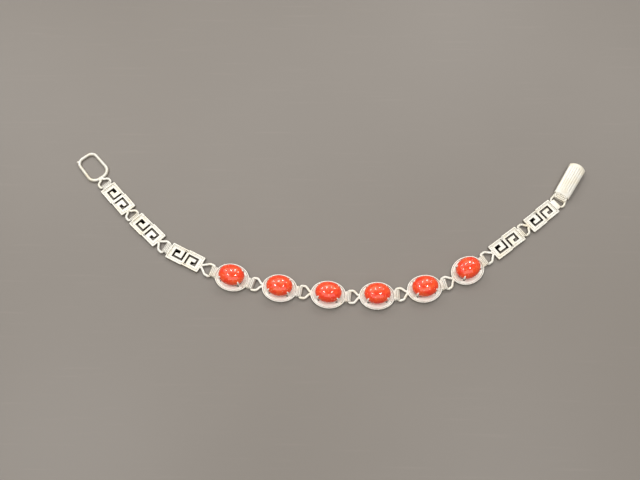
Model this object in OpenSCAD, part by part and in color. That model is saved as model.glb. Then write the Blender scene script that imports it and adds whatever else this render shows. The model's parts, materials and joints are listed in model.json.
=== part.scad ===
// Coral bracelet: oval coral cabochons and pierced key plates in a silver link chain, lying open.
// X runs along the bracelet, Z is up, and the origin is under the middle of its outline.

/* [Chain] */
// Heading of the end loop, the first piece, from the long direction
first_heading = -49.5; // [-70:0.5:0]
// Where the end loop's middle lies along the bracelet
loop_x = -77.42; // [-110:0.01:-60]
// Where the end loop's middle lies across the bracelet
loop_y = 20.72; // [0:0.01:60]
// Height of every link joint above the table
joint_z = 0.65; // [0.6:0.05:0.8]

/* [Wire eyes and hinge tabs] */
// Thickness of the eye wire
wire_d = 0.55; // [0.45:0.05:0.6]
// Length of a setting's eye, from its bar to the tray's edge
setting_eye_len = 3.25; // [3.1:0.05:4]
// Length of a key plate's or the end loop's eye, from its bar to the edge
plate_eye_len = 3; // [2.9:0.05:3.6]
// Width of an eye between the middles of its wires
eye_w = 3.85; // [3.8:0.05:4]
// Bend radius of an eye's corners
eye_bend = 0.42; // [0.38:0.02:0.44]
// Distance from the bar to where the arms turn in
eye_shoulder = 1.3; // [1.1:0.05:1.35]
// Bend radius of the shoulders
shoulder_bend = 0.8; // [0.5:0.05:0.8]
// Distance between the two arms where they run side by side
eye_neck = 0.6; // [0.58:0.02:0.8]
// Share of an eye's length where its arms are soldered side by side
neck_share = 0.33; // [0.2:0.01:0.4]
// Width of a tab on an oval setting
setting_tab_w = 2.6; // [2:0.1:2.8]
// Length of a tab on an oval setting
setting_tab_len = 1.4; // [1.35:0.05:2]
// Width of a tab on a key plate
plate_tab_w = 2.5; // [1.8:0.1:2.5]
// Length of a tab on a key plate
plate_tab_len = 1.4; // [1.3:0.05:1.8]
// Thickness of a tab's folded strip
tab_wall = 0.18; // [0.15:0.01:0.22]
// Room between a bar and its tab
joint_play = 0.05; // [0.03:0.01:0.08]

/* [End loop] */
// Outer length of the end loop
loop_len = 10.9; // [10:0.1:14]
// Outer width of the end loop at its far end
loop_far_w = 7.7; // [7:0.1:10]
// Outer width of the end loop beside the eye
loop_near_w = 7.9; // [7:0.1:10]
// How far the loop sits off the middle of its eye
loop_off = 0.4; // [0:0.1:0.5]
// Thickness of the end loop's wire
loop_wire_d = 1; // [0.8:0.05:1.2]
// Bend radius of the far corners
loop_far_bend = 1.9; // [1.2:0.1:2.5]
// Bend radius of the corners beside the eye
loop_near_bend = 2.5; // [1.5:0.1:2.8]

/* [Key plates] */
// Length of a key plate
plate_len = 11.4; // [11:0.1:12.5]
// Width of a key plate
plate_w = 5.5; // [5.4:0.1:6.5]
// Thickness of a key plate under its raised border
plate_t = 0.85; // [0.7:0.05:1]
// Height of the raised border
border_h = 0.2; // [0.1:0.05:0.3]
// Width of the raised border
border_w = 0.32; // [0.25:0.01:0.4]
// Width of the pierced line
slot_w = 0.56; // [0.4:0.02:0.56]
// Step between the plate's two halves
half_step = 0.24; // [0:0.02:0.3]

/* [Oval settings] */
// Length of an oval tray
tray_len = 10.8; // [10.4:0.1:11.2]
// Width of an oval tray
tray_w = 8.7; // [8.6:0.1:9.4]
// Height of the tray's rim
rim_z = 1; // [0.9:0.05:1.2]
// Height of the flat part inside the rim
land_z = 0.8; // [0.7:0.05:0.85]
// Height of the floor under the coral
floor_z = 0.42; // [0.35:0.01:0.5]
// Width of a prong
prong_w = 0.55; // [0.45:0.01:0.7]
// Thickness of a prong
prong_t = 0.3; // [0.25:0.01:0.4]
// Direction of the prongs from the long axis
prong_angle = 35; // [30:1:40]
// Room between the coral and its metal
stone_play = 0.09; // [0.08:0.01:0.12]

/* [Coral] */
// Length of a cabochon
stone_len = 8; // [7.5:0.1:8.2]
// Width of a cabochon
stone_w = 6.5; // [6:0.1:6.8]
// Height of its widest line
girdle_z = 2.7; // [2.4:0.1:3]
// Height of its top
stone_top_z = 5.1; // [4.5:0.1:5.5]
// Size of its flat base beside its widest line
stone_base = 0.72; // [0.65:0.01:0.8]

/* [Clasp] */
// Length of the lever
lever_len = 12.6; // [12.4:0.1:13.6]
// Width of the lever
lever_w = 5.4; // [5.3:0.1:6]
// Height of the lever's crown
lever_z = 2.9; // [2.8:0.05:3.2]
// Thickness of the lever's sheet
lever_t = 0.4; // [0.35:0.01:0.45]
// Thickness of the hinge pin
pin_d = 0.6; // [0.5:0.02:0.64]
// Height of the hinge pin
pin_z = 1.3; // [1.25:0.01:1.35]
// Opening of the lever
lever_open = 0; // [0:1:110]
// Thickness of the bail wire
bail_wire_d = 0.65; // [0.5:0.05:0.65]
// Outer width of the bail
bail_w = 5.5; // [5.2:0.1:6]
// Distance from the bail's bar to the clasp's neck
bail_len = 1.9; // [1.8:0.05:2.2]
// Length of the neck between the bail and the lever
clasp_neck = 1.7; // [0.9:0.1:1.8]

/* [Hidden] */
$fn = 48;
eps = 0.01;
silver = [0.86, 0.84, 0.8];
coral = [0.93, 0.22, 0.12];

// Where a tab's slot starts outside its piece's edge, and how far its strip runs in under the piece.
setting_slot_from = 0.04;
setting_tab_root = 0.7;
plate_slot_from = 0.02;
plate_tab_root = 0.4;

// The chain from left to right. turn: degrees to the left from the piece before.
// more_eye, more_tab: how much longer the piece's own eye and tabs are than the others.
// slide: how far the piece has slid to the left along the bar that joins it to the piece before.
// stone_turn: degrees that the coral sits turned in its tray.
chain = [
    // piece, kind, turn, more_eye, more_tab, slide, stone_turn
    ["end_loop", "loop", 0, -0.2, 0, 0, 0],
    ["key_plate_1", "eye_right", 1, -0.1, 0, 0.1, 0],
    ["key_plate_2", "eye_right", 4, 0.4, -0.2, 0.3, 0],
    ["key_plate_3", "eye_right", 17, 0.95, 0.5, 0.3, 0],
    ["setting_1", "two_tabs", 9.5, 0, 0.3, 0.05, 3],
    ["setting_2", "setting", 8.5, 0, 0, 0.1, 3],
    ["setting_3", "setting", 3.5, 0, 0, 0, 1],
    ["setting_4", "setting", 8.5, 0, 0, 0, 1],
    ["setting_5", "setting", 11, 0, 0.3, 0.1, -3],
    ["setting_6", "setting", 18, 0.1, 0.3, 0, 2],
    ["key_plate_4", "eye_left", 5, 0.65, -0.2, 0.25, 0],
    ["key_plate_5", "eye_left", 2, 0, 0.4, 0.25, 0],
    ["clasp", "clasp", 19, 0, 0, -0.1, 0],
];
function kind(i) = chain[i][1];
function turn(i) = chain[i][2];
function slide(i) = chain[i][5];
function stone_turn(i) = chain[i][6];
function eye_len(i) = (kind(i) == "setting" ? setting_eye_len : plate_eye_len) + chain[i][3];
function tab_len(i) = (is_plate(i) ? plate_tab_len : setting_tab_len) + chain[i][4];
function tab_w(i) = is_plate(i) ? plate_tab_w : setting_tab_w;
function heading(i) = i == 0 ? first_heading : heading(i - 1) + turn(i);
function along(a, d) = [d * cos(a), d * sin(a), 0];
function is_plate(i) = kind(i) == "eye_left" || kind(i) == "eye_right";
function half_len(i) = kind(i) == "loop" ? loop_len / 2 : is_plate(i) ? plate_len / 2 : tray_len / 2;

// The chain lies drawn out: every bar rests at the outer end of its tab, skewed by the turn there.
function tab_reach(i, a, bar_d) =
    tab_len(i) - tab_wall - joint_play / 2 - tab_w(i) / 2 * tan(abs(a)) - bar_d / 2 / cos(a);
function has_right_eye(i) = kind(i) == "loop" || kind(i) == "eye_right";
function has_left_eye(i) = kind(i) == "setting" || kind(i) == "eye_left";
function right_reach(i) =
    let (bar_d = kind(i + 1) == "clasp" ? bail_wire_d : wire_d)
    half_len(i) + (has_right_eye(i) ? eye_len(i) : tab_reach(i, turn(i + 1), bar_d));
function left_reach(i) =
    kind(i) == "clasp" ? 0
    : half_len(i) + (has_left_eye(i) ? eye_len(i) : tab_reach(i, turn(i), wire_d));
function place(i) =
    i == 0 ? [loop_x, loop_y, 0]
    : let (bar_heading = heading(has_right_eye(i - 1) ? i - 1 : i) + 90)
    place(i - 1) + along(heading(i - 1), right_reach(i - 1)) + along(heading(i), left_reach(i))
        + along(bar_heading, slide(i));

// The coral's outline as a share of its widest line, at height z.
stone_z = 0.6;
function stone_share(z) =
    z < girdle_z ? stone_base + (1 - stone_base) * sin(90 * (z - stone_z) / (girdle_z - stone_z))
    : sqrt(max(0, 1 - pow((z - girdle_z) / (stone_top_z - girdle_z), 2)));

// Puts a piece at its place in the chain.
module at(i) {
    translate(place(i)) rotate(heading(i)) children();
}

function unit(v) = v / norm(v);
function turned(v, a) = [v.x * cos(a) - v.y * sin(a), v.x * sin(a) + v.y * cos(a)];

// The points of a round corner at q, between p and s.
function corner(p, q, s, r, steps) =
    let (
        a = unit(p - q),
        b = unit(s - q),
        half = acos(a * b) / 2,
        centre = q + unit(a + b) * r / sin(half),
        start = q + a * r / tan(half) - centre,
        sweep = (180 - 2 * half) * sign(b.x * a.y - b.y * a.x)
    )
    [for (k = [0:steps]) centre + turned(start, sweep * k / steps)];

// A closed outline through corners, each [point, bend radius, steps in the bend]. Radius 0 is a sharp one.
function rounded(corners) =
    let (n = len(corners))
    [for (i = [0:n - 1])
        let (before = corners[(i + n - 1) % n], here = corners[i], after = corners[(i + 1) % n])
        each here[1] == 0 ? [here[0]] : corner(before[0], here[0], after[0], here[1], here[2])];

// A closed ring of wire along a flat path, its section a polygon with so many sides.
module wire_ring(path, d, sides) {
    n = len(path);
    points = [for (i = [0:n - 1])
        let (
            before = unit(path[i] - path[(i + n - 1) % n]),
            after = unit(path[(i + 1) % n] - path[i]),
            way = unit(before + after),
            out = [way.y, -way.x] / (way * after)
        )
        for (k = [0:sides - 1])
            let (a = 360 * (k + 0.5) / sides)
            [path[i].x + out.x * d / 2 * cos(a), path[i].y + out.y * d / 2 * cos(a), d / 2 * sin(a)]];
    faces = [for (i = [0:n - 1], k = [0:sides - 1])
        let (a = i * sides, b = (i + 1) % n * sides, next = (k + 1) % sides)
        [a + k, a + next, b + next, b + k]];
    polyhedron(points, faces);
}

// A wire eye: its bar on the origin, its arms meeting and running side by side into the piece at x = reach.
module wire_eye(reach) {
    root = 0.04;
    neck_bend = 0.5;
    solder_h = 0.4;
    solder_root = 0.2;
    neck = reach * (1 - neck_share);
    far = reach + root;
    // point, bend radius, steps in the bend
    path = rounded([
        [[0, eye_w / 2], eye_bend, 4],
        [[0, -eye_w / 2], eye_bend, 4],
        [[eye_shoulder, -eye_w / 2], shoulder_bend, 3],
        [[neck, -eye_neck / 2], neck_bend, 3],
        [[far, -eye_neck / 2], 0, 0],
        [[far, eye_neck / 2], 0, 0],
        [[neck, eye_neck / 2], neck_bend, 3],
        [[eye_shoulder, eye_w / 2], shoulder_bend, 3],
    ]);
    translate([0, 0, joint_z]) {
        wire_ring(path, wire_d, 6);
        translate([neck, -eye_neck / 2, -solder_h / 2])
            cube([reach + solder_root - neck, eye_neck, solder_h]);
    }
}

// A folded hinge tab from the edge at x = 0, with a long slot for the bar.
module hinge_tab(len, w, slot_from, root) {
    slot_h = wire_d + 2 * joint_play;
    tab_h = slot_h + 2 * tab_wall;
    translate([0, 0, joint_z]) rotate([90, 0, 0]) difference() {
        union() {
            translate([-root, -tab_h / 2, -w / 2]) cube([root + len - tab_h / 2, tab_h, w]);
            translate([len - tab_h / 2, 0, 0]) cylinder(d = tab_h, h = w, center = true);
        }
        translate([slot_from, -slot_h / 2, -w]) cube([len - tab_wall - slot_h / 2 - slot_from, slot_h, 2 * w]);
        translate([len - tab_wall - slot_h / 2, 0, 0]) cylinder(d = slot_h, h = 2 * w, center = true);
    }
}

module tab(i) {
    if (is_plate(i)) {
        hinge_tab(tab_len(i), plate_tab_w, plate_slot_from, plate_tab_root);
    } else {
        hinge_tab(tab_len(i), setting_tab_w, setting_slot_from, setting_tab_root);
    }
}

// The end loop: a rounded oblong of thick wire, a little narrower at its far end, with its eye.
module end_loop() {
    x = (loop_len - loop_wire_d) / 2;
    far_y = (loop_far_w - loop_wire_d) / 2;
    near_y = (loop_near_w - loop_wire_d) / 2;
    far = loop_far_bend;
    near = loop_near_bend;
    // point, bend radius, steps in the bend
    path = rounded([
        [[-x, far_y], far, 7],
        [[-x, -far_y], far, 7],
        [[x, -near_y], near, 7],
        [[x, near_y], near, 7],
    ]);
    color(silver) at(0) {
        translate([0, loop_off, loop_wire_d / 2]) wire_ring(path, loop_wire_d, 10);
        translate([right_reach(0), 0, 0]) rotate(180) wire_eye(eye_len(0));
    }
}

// A rectangle with round corners, in the middle of the plane.
module round_rect(l, w, r) {
    square([l - 2 * r, w], center = true);
    square([l, w - 2 * r], center = true);
    for (x = [-1, 1], y = [-1, 1]) translate([x * (l / 2 - r), y * (w / 2 - r)]) circle(r);
}

// One of the two pierced lines of the key: a leg, a run over the hook, and back in below it.
module key_slot() {
    leg_x = 0.42;
    out_x = 4.15;
    top_y = 1.5;
    turn_y = -1.15;
    end_y = -2.05;
    stem_w = 1.38;
    hook_y = -0.2;
    hook_r = 0.35;
    in_x = leg_x + slot_w;
    translate([leg_x, end_y]) square([slot_w, -end_y]);
    difference() {
        translate([leg_x, turn_y]) square([out_x - leg_x, top_y - turn_y]);
        translate([in_x, turn_y - eps]) square([stem_w, top_y - slot_w - turn_y + eps]);
        translate([in_x, hook_y + hook_r]) square([out_x - slot_w - in_x, top_y - slot_w - hook_y - hook_r]);
        translate([in_x, hook_y]) square([out_x - slot_w - hook_r - in_x, hook_r + eps]);
        translate([out_x - slot_w - hook_r, hook_y + hook_r]) circle(hook_r);
    }
}

// The plate's outline, drawn in by inset: two halves, a step apart.
module plate_outline(inset, corner) {
    l = plate_len / 2 - inset;
    w = plate_w - half_step - 2 * inset;
    for (s = [-1, 1]) translate([s * l / 2, s * half_step / 2]) {
        round_rect(l, w, corner);
        translate([-s * l / 4, 0]) square([l / 2, w], center = true);
    }
}

// A pierced plate with a raised border.
module key_plate() {
    corner = 0.3;
    difference() {
        union() {
            linear_extrude(plate_t) plate_outline(0, corner);
            translate([0, 0, plate_t - eps]) linear_extrude(border_h + eps) difference() {
                plate_outline(0, corner);
                plate_outline(border_w, corner / 2);
            }
        }
        for (a = [0, 180]) rotate(a) translate([0, 0, -1]) linear_extrude(3) key_slot();
    }
}

// A key plate in the chain, with its eye on one end and its tab on the other.
module plate_link(i) {
    eye_side = has_right_eye(i) ? 180 : 0;
    color(silver) at(i) {
        key_plate();
        rotate(eye_side) {
            translate([-plate_len / 2 - eye_len(i), 0, 0]) wire_eye(eye_len(i));
            translate([plate_len / 2, 0, 0]) tab(i);
        }
    }
}

// Closes a stack of oval rings into one solid. Each ring is [half length, half width, height].
module oval_stack(rings, sides) {
    points = [for (r = rings, k = [0:sides - 1])
        [r[0] * cos(360 * k / sides), r[1] * sin(360 * k / sides), r[2]]];
    last = (len(rings) - 1) * sides;
    faces = concat(
        [[for (k = [0:sides - 1]) k]],
        [for (r = [0:len(rings) - 2], k = [0:sides - 1])
            let (a = r * sides + k, b = r * sides + (k + 1) % sides) [a, a + sides, b + sides, b]],
        [[for (k = [sides - 1:-1:0]) last + k]]
    );
    polyhedron(points, faces);
}

// The tray's section from under its middle round to its floor: a rim, a flat land and a well.
// Each point is [inset from the outline, height].
function tray_profile() =
    let (edge = 0.05, lip = 0.3, land = 1.85, slope = 0.1)
    [
        [0.8, 0], [0, 0.55], [0, rim_z - edge], [edge, rim_z], [lip, rim_z],
        [lip + slope, land_z], [land, land_z], [land + slope, floor_z],
    ];

// The oval tray with its four windows.
module tray() {
    sides = 48;
    window_l = 0.5;
    window_w = 0.6;
    reach = stone_reach() * stone_base + prong_t + stone_play;
    rings = [for (p = tray_profile()) [tray_len / 2 - p[0], tray_w / 2 - p[0], p[1]]];
    difference() {
        oval_stack(rings, sides);
        prong_sites() translate([reach, -window_w / 2, -1]) cube([window_l, window_w, 3]);
    }
}

// The coral's half width towards a prong.
function stone_reach() = 1 / norm([cos(prong_angle) / stone_len, sin(prong_angle) / stone_w]) / 2;

module prong_sites() {
    for (x = [0, 1], y = [0, 1]) mirror([x, 0, 0]) mirror([0, y, 0]) rotate(prong_angle) children();
}

// One prong: a strip bent up out of the floor, along the coral's side and over its edge.
module prong() {
    foot_z = 0.1;
    top_z = 4.1;
    steps = 8;
    r = stone_reach();
    levels = [for (k = [1:steps])
        let (z = stone_z + (top_z - stone_z) * k / steps)
        [r * stone_share(z) + stone_play, z]];
    foot = r * stone_base + stone_play;
    inner = concat([[foot, foot_z], [foot, stone_z]], levels);
    n = len(inner) - 1;
    function side(k) = inner[min(n, k + 1)] - inner[max(0, k - 1)];
    outer = [for (k = [n:-1:0]) inner[k] + [side(k).y, -side(k).x] / norm(side(k)) * prong_t];
    rotate([90, 0, 0]) translate([0, 0, -prong_w / 2]) linear_extrude(prong_w) polygon(concat(inner, outer));
}

// An oval setting in the chain. The first one has a tab on both ends, the others an eye on the left.
module setting_link(i) {
    color(silver) at(i) {
        tray();
        prong_sites() prong();
        translate([tray_len / 2, 0, 0]) tab(i);
        if (has_left_eye(i)) {
            translate([-tray_len / 2 - eye_len(i), 0, 0]) wire_eye(eye_len(i));
        } else {
            rotate(180) translate([tray_len / 2, 0, 0]) tab(i);
        }
    }
}

// A domed oval cabochon, built up in rings.
module cabochon(i) {
    sides = 32;
    below = 2;
    above = 7;
    levels = concat(
        [for (k = [0:below - 1]) stone_z + (girdle_z - stone_z) * k / below],
        [for (k = [0:above]) girdle_z + (stone_top_z - girdle_z) * sin(87 * k / above)]
    );
    rings = [for (z = levels) [stone_len / 2 * stone_share(z), stone_w / 2 * stone_share(z), z]];
    color(coral) at(i) rotate(stone_turn(i)) oval_stack(rings, sides);
}

// The clasp is drawn from its bail's bar: the neck, the lever and the hinge follow along x.
lever_x = bail_len + clasp_neck;
lever_end = lever_x + lever_len;
pin_x = lever_end - 0.9;
rail_y = lever_w / 2 - lever_t - 0.2;
knuckle_r = pin_d / 2 + 0.22;
ear_w = 0.55;
ear_play = 0.15;
knuckle_y = rail_y - ear_w - ear_play;

// The window in the lever's skirts beside the hinge, where the end loop's wire lies when the clasp is shut.
notch_x = 2.25;
notch_l = 1.25;
notch_z = 1.75;
flute_step = 0.8;

// The wide bail that carries the clasp, with its arms soldered along the neck.
module bail() {
    bend_r = 1;
    far_bend = 0.45;
    arm_in = 0.3;
    y = (bail_w - bail_wire_d) / 2;
    far = lever_x + 0.4;
    neck_y = rail_y - arm_in;
    // point, bend radius, steps in the bend
    path = rounded([
        [[0, y], bend_r, 5],
        [[0, -y], bend_r, 5],
        [[far, -neck_y], far_bend, 3],
        [[far, neck_y], far_bend, 3],
    ]);
    translate([0, 0, joint_z]) wire_ring(path, bail_wire_d, 8);
}

// The rounded ridge across the neck that the lever's front edge snaps behind.
module catch_ridge(z) {
    ridge_r = 0.3;
    ridge_w = 2 * rail_y - 0.6;
    translate([0, 0, z]) rotate([90, 0, 0]) difference() {
        cylinder(r = ridge_r, h = ridge_w, center = true);
        translate([-1, -2, -rail_y]) cube([2, 1.8, 2 * rail_y]);
    }
}

// The base: a neck and floor with low rails, ears round the pin, and a gap where the end loop hooks in.
module clasp_base() {
    base_t = 0.5;
    rail_t = 0.4;
    rail_z = 1.35;
    ridge_back = 0.55;
    ear_root = 0.3;
    hole_play = 0.02;
    rail_x = lever_x + 0.6;
    base_end = pin_x - knuckle_r - 0.2;
    gap_x = base_end - 1.5;
    color(silver) at(12) difference() {
        union() {
            bail();
            translate([bail_len, -rail_y, 0]) cube([base_end - bail_len, 2 * rail_y, base_t]);
            translate([lever_x - ridge_back, 0, 0]) catch_ridge(base_t);
            for (side = [0, 1]) mirror([0, side, 0]) {
                translate([rail_x, rail_y - rail_t, 0]) cube([gap_x - rail_x, rail_t, rail_z]);
                translate([base_end - ear_root, rail_y - ear_w, 0])
                    cube([pin_x - base_end + ear_root, ear_w, pin_z]);
                translate([pin_x, rail_y, pin_z]) rotate([90, 0, 0]) cylinder(r = knuckle_r, h = ear_w);
            }
        }
        translate([pin_x, 0, pin_z]) rotate([90, 0, 0])
            cylinder(r = pin_d / 2 + hole_play, h = lever_w, center = true);
    }
}

// The hinge pin, through both ears and the lever's knuckle.
module clasp_pin() {
    color(silver) at(12) translate([pin_x, 0, pin_z]) rotate([90, 0, 0])
        cylinder(d = pin_d, h = 2 * rail_y, center = true);
}

// A barrel surface for the lever's top or underside, d below the crown. It bows along by one radius
// and across by the other.
long_r = 60;
cross_r = 8;
module barrel(d) {
    translate([lever_x + lever_len / 2, 0, lever_z - long_r]) rotate([90, 0, 0])
        rotate_extrude($fn = 180) translate([long_r - cross_r, 0]) circle(cross_r - d);
}

// One of the flutes along the lever's crown, y off its middle.
module flute(y) {
    r = 0.22;
    out = 0.08;
    span = 4.7;
    level = long_r - cross_r + sqrt(cross_r * cross_r - y * y) + out;
    translate([lever_x + lever_len / 2, y, lever_z - long_r]) rotate([90, 0, 0]) rotate(90 - span)
        rotate_extrude(angle = 2 * span, $fn = 180) translate([level, 0]) circle(r);
}

// The lever: a crowned cover with fluted top, bowed outer end and side skirts, and its hinge knuckle.
module clasp_lever() {
    skirt_z = 0.7;
    front_z = 1.1;
    bow_r = 4.5;
    bore_d = pin_d + 0.1;
    knuckle_top = lever_z - 0.6;
    y = lever_w / 2;
    inner_w = lever_w - 2 * lever_t;
    swing = [0, lever_open, 0];
    hinge = [pin_x, 0, pin_z];
    color(silver) at(12) translate(hinge) rotate(swing) translate(-hinge) difference() {
        union() {
            difference() {
                intersection() {
                    translate([lever_x, -y, skirt_z]) cube([lever_len, lever_w, lever_z]);
                    union() {
                        translate([lever_end - bow_r, 0, 0]) cylinder(r = bow_r, h = 9, $fn = 96);
                        translate([0, -bow_r, 0]) cube([lever_end - bow_r, 2 * bow_r, 9]);
                    }
                    barrel(0);
                }
                intersection() {
                    translate([lever_x + lever_t, -inner_w / 2, 0]) cube([lever_len, inner_w, lever_z]);
                    barrel(lever_t);
                }
                translate([lever_x - 1, -inner_w / 2, 0]) cube([2, inner_w, front_z]);
                for (k = [-2:2]) flute(k * flute_step);
                translate([pin_x - notch_x, -y - 1, 0]) cube([notch_l, lever_w + 2, notch_z]);
            }
            translate(hinge) rotate([90, 0, 0]) cylinder(r = knuckle_r, h = 2 * knuckle_y, center = true);
            translate([pin_x - knuckle_r, -knuckle_y, pin_z])
                cube([2 * knuckle_r, 2 * knuckle_y, knuckle_top - pin_z]);
        }
        translate(hinge) rotate([90, 0, 0]) cylinder(d = bore_d, h = lever_w, center = true);
        for (side = [0, 1]) mirror([0, side, 0]) translate([pin_x, rail_y + ear_play, pin_z])
            rotate([90, 0, 0]) cylinder(r = knuckle_r + ear_play, h = ear_w + 2 * ear_play);
    }
}

end_loop();
for (k = [1:3]) plate_link(k);
for (k = [4:5]) plate_link(k + 6);
for (k = [1:6]) setting_link(k + 3);
for (k = [1:6]) cabochon(k + 3);
clasp_base();
clasp_lever();
clasp_pin();
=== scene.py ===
import json
import math

import bmesh
import bpy
import numpy as np
from mathutils import Matrix, Vector, geometry, noise


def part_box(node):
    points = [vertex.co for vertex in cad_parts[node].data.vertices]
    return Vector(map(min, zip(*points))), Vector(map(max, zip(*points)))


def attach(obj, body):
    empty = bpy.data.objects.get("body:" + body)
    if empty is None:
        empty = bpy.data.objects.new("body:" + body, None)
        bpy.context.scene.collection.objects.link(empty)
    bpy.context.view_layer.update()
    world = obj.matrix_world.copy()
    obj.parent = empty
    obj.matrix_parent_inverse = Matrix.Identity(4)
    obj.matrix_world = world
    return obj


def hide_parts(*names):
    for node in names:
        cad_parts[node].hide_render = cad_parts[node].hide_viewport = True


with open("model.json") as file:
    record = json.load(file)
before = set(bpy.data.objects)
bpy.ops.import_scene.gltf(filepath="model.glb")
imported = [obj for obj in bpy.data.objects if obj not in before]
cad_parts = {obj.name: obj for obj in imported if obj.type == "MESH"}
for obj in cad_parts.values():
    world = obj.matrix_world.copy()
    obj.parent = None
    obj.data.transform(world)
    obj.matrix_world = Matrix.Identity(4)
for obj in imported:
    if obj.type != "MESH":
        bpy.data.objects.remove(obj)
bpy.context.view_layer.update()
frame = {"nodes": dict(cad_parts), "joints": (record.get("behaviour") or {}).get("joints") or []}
mm = 0.001  # every size below is in millimetres, and the frame is in metres


# a node's points, each once, in millimetres
def nodePoints(node):
    mesh = frame["nodes"][node].data
    flat = np.empty(len(mesh.vertices) * 3, np.float32)
    mesh.vertices.foreach_get("co", flat)
    return np.unique(np.round(flat.reshape(-1, 3) / mm, 4), axis=0)


def boxMiddle(node):
    low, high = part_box(node)
    return np.array((low + high) / 2)[:2] / mm


# the way that a cloud of points is longest, turned to the right
def longWay(points):
    flat = points[:, :2] - points[:, :2].mean(0)
    way = np.linalg.eigh(flat.T @ flat)[1][:, 1]
    way = way * np.sign(way[0])
    return math.atan2(way[1], way[0])


# the way that most of a node's upright walls run, nearest to a first guess
def wallWay(node, guess):
    total = 0j
    for face in frame["nodes"][node].data.polygons:
        if abs(face.normal.z) < 0.1:
            total += face.area * np.exp(4j * math.atan2(face.normal.y, face.normal.x))
    way = np.angle(total) / 4
    return way + round((guess - way) / (math.pi / 2)) * math.pi / 2


def turned(points, angle):
    points = np.asarray(points, float)
    c, s = math.cos(angle), math.sin(angle)
    result = points.copy()
    result[..., 0] = points[..., 0] * c - points[..., 1] * s
    result[..., 1] = points[..., 0] * s + points[..., 1] * c
    return result


# a node's points as its own piece sees them
def seenFrom(place, node):
    points = nodePoints(node)
    points[:, :2] -= place["at"]
    return turned(points, -place["turn"])


# a shape holds points in millimetres, the faces between them and how dark each point is
def newShape():
    return {"points": [], "faces": [], "dark": [], "count": 0}


def addPoints(shape, points, faces, dark=0.0):
    points = np.asarray(points, float).reshape(-1, 3)
    start = shape["count"]
    shape["points"].append(points)
    shape["faces"] += [[start + corner for corner in face] for face in faces]
    shape["dark"].append(np.broadcast_to(np.asarray(dark, float).ravel(), len(points)))
    shape["count"] += len(points)


def allPoints(shape):
    return np.concatenate(shape["points"])


# adds a part to a shape, with the part's points moved
def addShape(shape, part, points):
    addPoints(shape, points, part["faces"], np.concatenate(part["dark"]))


# joins rows of points into a skin; an end that is capped gets one flat face
def addSkin(shape, grid, loopRows=False, capped=True, dark=0.0):
    rows, across = grid.shape[:2]
    faces = []
    for row in range(rows if loopRows else rows - 1):
        for col in range(across):
            a, b = row * across + col, row * across + (col + 1) % across
            step = ((row + 1) % rows - row) * across
            faces.append((a, b, b + step, a + step))
    if capped and not loopRows:
        faces.append(range(across))
        faces.append(range((rows - 1) * across, rows * across))
    addPoints(shape, grid, faces, dark)


def unit(vector):
    return vector / np.linalg.norm(vector)


# a closed path through corners, each x, y and bend radius
def roundedPath(corners, steps):
    path = []
    for index, (x, y, bend) in enumerate(corners):
        here = np.array((x, y), float)
        before = unit(np.array(corners[index - 1][:2]) - here)
        after = unit(np.array(corners[(index + 1) % len(corners)][:2]) - here)
        half = math.acos(np.clip(before @ after, -1, 1)) / 2
        centre = here + unit(before + after) * bend / math.sin(half)
        start = here + before * bend / math.tan(half) - centre
        sweep = (math.pi - 2 * half) * np.sign(after[0] * before[1] - after[1] * before[0])
        path += [centre + turned(start, sweep * step / steps) for step in range(steps + 1)]
    return np.array(path)


# at each point of a path, the step to its right that keeps an offset line parallel
def sideSteps(path, closed=True):
    ahead = np.roll(path, -1, axis=0) - path
    ahead /= np.linalg.norm(ahead, axis=1)[:, None]
    behind = np.roll(ahead, 1, axis=0)
    if not closed:
        ahead[-1] = behind[-1]
        behind[0] = ahead[0]
    middle = behind + ahead
    middle /= np.linalg.norm(middle, axis=1)[:, None]
    side = np.stack([middle[:, 1], -middle[:, 0]], 1)
    return side / np.einsum("ij,ij->i", middle, ahead)[:, None]


# carries a section (out, up) along a flat path; the section may change from point to point
def sweep(path, section, closed=True):
    section = np.asarray(section, float)
    if section.ndim == 2:
        section = np.broadcast_to(section, (len(path), *section.shape))
    side = sideSteps(path, closed)
    grid = np.empty((*section.shape[:2], 3))
    grid[..., :2] = path[:, None] + side[:, None] * section[..., :1]
    grid[..., 2] = section[..., 1]
    return grid


def circle(radius, sides):
    angles = (np.arange(sides) + 0.5) * 2 * math.pi / sides
    return np.stack([radius * np.cos(angles), radius * np.sin(angles)], 1)


# a flat bar's section with round corners
def barSection(halfOut, halfUp, bend):
    corners = [(halfOut, -halfUp), (halfOut, halfUp), (-halfOut, halfUp), (-halfOut, -halfUp)]
    return roundedPath([(x, y, bend) for x, y in corners], 3)


# stands a flat sweep up, so that its path lies in the x, z plane
def upright(grid):
    return grid[..., [0, 2, 1]]


# a slab from outlines, the outer one anticlockwise and its holes clockwise
# each row is inset, height and, where it isn't plain metal, darkness: patina and painted shade above zero,
# painted light below
def addSlab(shape, outlines, rows, holeRows=None):
    rings = []
    for index, outline in enumerate(outlines):
        side = sideSteps(outline)
        levels = holeRows if index and holeRows else rows
        grid = np.empty((len(levels), len(outline), 3))
        tones = np.zeros((len(levels), len(outline)))
        for row, (inset, height, *tone) in enumerate(levels):
            grid[row, :, :2] = outline - side * inset
            grid[row, :, 2] = height
            tones[row] = tone[0] if tone else 0
        rings.append(grid)
        addSkin(shape, grid, capped=False, dark=tones)
    for row in (0, -1):
        loops = [grid[row] for grid in rings]
        flat = [[Vector((x, y, 0)) for x, y, z in loop] for loop in loops]
        addPoints(shape, np.concatenate(loops), geometry.tessellate_polygon(flat))


# rows of inset and height for a slab with eased edges
def softRows(low, high, edge):
    steps = [0, 0.3, 1]  # shares of the edge radius
    bottom = [(edge * (1 - s), low + edge * s * s) for s in steps]
    return bottom + [(inset, low + high - height) for inset, height in reversed(bottom)]


def rectangle(low, high, bend):
    (x0, y0), (x1, y1) = low, high
    return roundedPath([(x0, y0, bend), (x1, y0, bend), (x1, y1, bend), (x0, y1, bend)], 4)


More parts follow.
